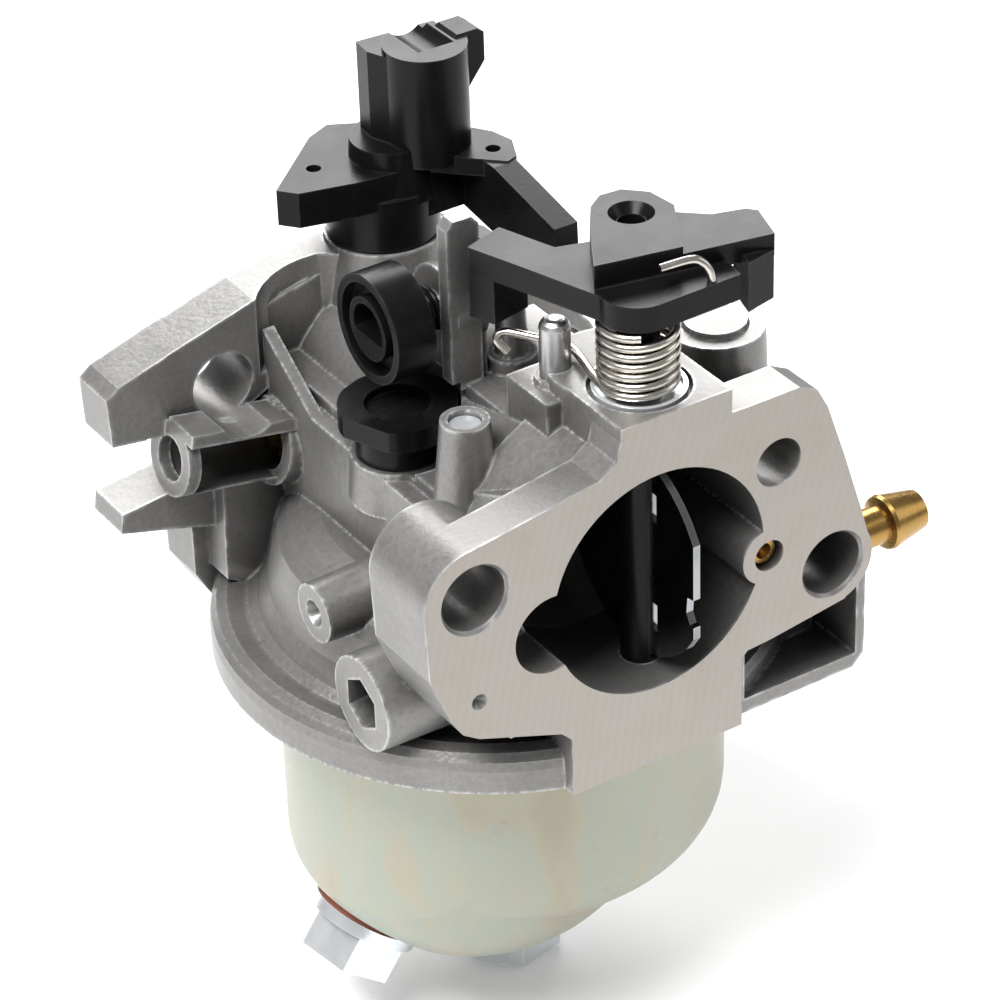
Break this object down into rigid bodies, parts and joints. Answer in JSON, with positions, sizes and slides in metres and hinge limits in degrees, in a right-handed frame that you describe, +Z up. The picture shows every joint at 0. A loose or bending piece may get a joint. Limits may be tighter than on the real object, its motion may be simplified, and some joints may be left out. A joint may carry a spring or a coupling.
{
  "type": "carburetor",
  "caption": "Single-barrel float carburetor with a die-cast body, vertical choke and throttle shafts, a round float bowl, an adjustable idle screw and a side fuel nipple.",
  "frame": {"origin": "centre of the bore on the machined air-cleaner flange face", "axes": "+Y along the bore from the air cleaner towards the engine, +Z up along the choke and throttle shafts, +X towards the fuel inlet nipple"},
  "size_m": [0.0762, 0.0616, 0.1033],
  "materials": {
    "cast_alloy": "matte die cast",
    "olive_zinc": "yellow zinc plated sheet",
    "rubber_seal": "matte",
    "bright_zinc": "bright zinc plated",
    "fibre_washer": "matte fibre",
    "brass": "turned brass",
    "black_plastic": "semi-matte moulded",
    "float_plastic": "moulded foam nylon",
    "spring_wire": "drawn spring wire",
    "dark_steel": "polished dark",
    "steel": "plain ground"
  },
  "bodies": {
    "carburetor_body": {"main_body": "cast_alloy", "float_bowl": "olive_zinc", "bowl_gasket": "rubber_seal", "bowl_bolt": "bright_zinc", "bowl_bolt_washer": "fibre_washer", "drain_bolt": "bright_zinc", "drain_washer": "fibre_washer", "fuel_inlet": "brass", "needle_seat": "brass", "float_pin": "steel", "main_jet": "brass", "emulsion_tube": "brass", "pilot_jet": "black_plastic", "air_jet": "brass", "choke_washer": "bright_zinc", "spring_pin": "steel", "passage_plug": "bright_zinc", "throttle_seal": "rubber_seal", "mixture_spring": "spring_wire", "choke_spring": "spring_wire", "idle_spring": "black_plastic"},
    "choke": {"choke_lever": "black_plastic", "choke_shaft": "black_plastic", "choke_plate": "dark_steel", "choke_rivet_upper": "bright_zinc", "choke_rivet_lower": "bright_zinc", "choke_spring_hook": "spring_wire"},
    "throttle": {"throttle_lever": "black_plastic", "throttle_shaft": "steel", "throttle_plate": "brass", "throttle_screw_upper": "bright_zinc", "throttle_screw_lower": "bright_zinc"},
    "idle_adjuster": {"idle_screw": "steel", "idle_knob": "black_plastic"},
    "float": {"float_body": "float_plastic", "float_arm": "brass"},
    "needle": {"inlet_needle": "steel"},
    "mixture_adjuster": {"mixture_screw": "brass"}
  },
  "joints": [
    {"name": "choke_turn", "type": "hinge", "parent": "carburetor_body", "child": "choke", "pos_m": [0.0018, 0.006, 0.02], "axis": [0, 0, 1], "range_deg": [0, 60]},
    {"name": "throttle_turn", "type": "hinge", "parent": "carburetor_body", "child": "throttle", "pos_m": [0, 0.05, 0.017], "axis": [0, 0, 1], "range_deg": [0, 75]},
    {"name": "idle_screw_turn", "type": "hinge", "parent": "carburetor_body", "child": "idle_adjuster", "pos_m": [-0.012, 0.029, 0.0198], "axis": [1, 0, 0], "range_deg": [-360, 360]},
    {"name": "float_swing", "type": "hinge", "parent": "carburetor_body", "child": "float", "pos_m": [0, 0.013, -0.025], "axis": [1, 0, 0], "range_deg": [-6, 0]},
    {"name": "needle_slide", "type": "slide", "parent": "carburetor_body", "child": "needle", "axis": [0, 0, 1], "range_m": [-0.0007, 0]},
    {"name": "mixture_screw_turn", "type": "hinge", "parent": "carburetor_body", "child": "mixture_adjuster", "pos_m": [-0.016, 0.0465, -0.0014], "axis": [-0.9848, 0, 0.1736], "range_deg": [-360, 360]}
  ],
  "couplings": [
    {"joint": "needle_slide", "follows": "float_swing", "m_per_rad": 0.006}
  ]
}
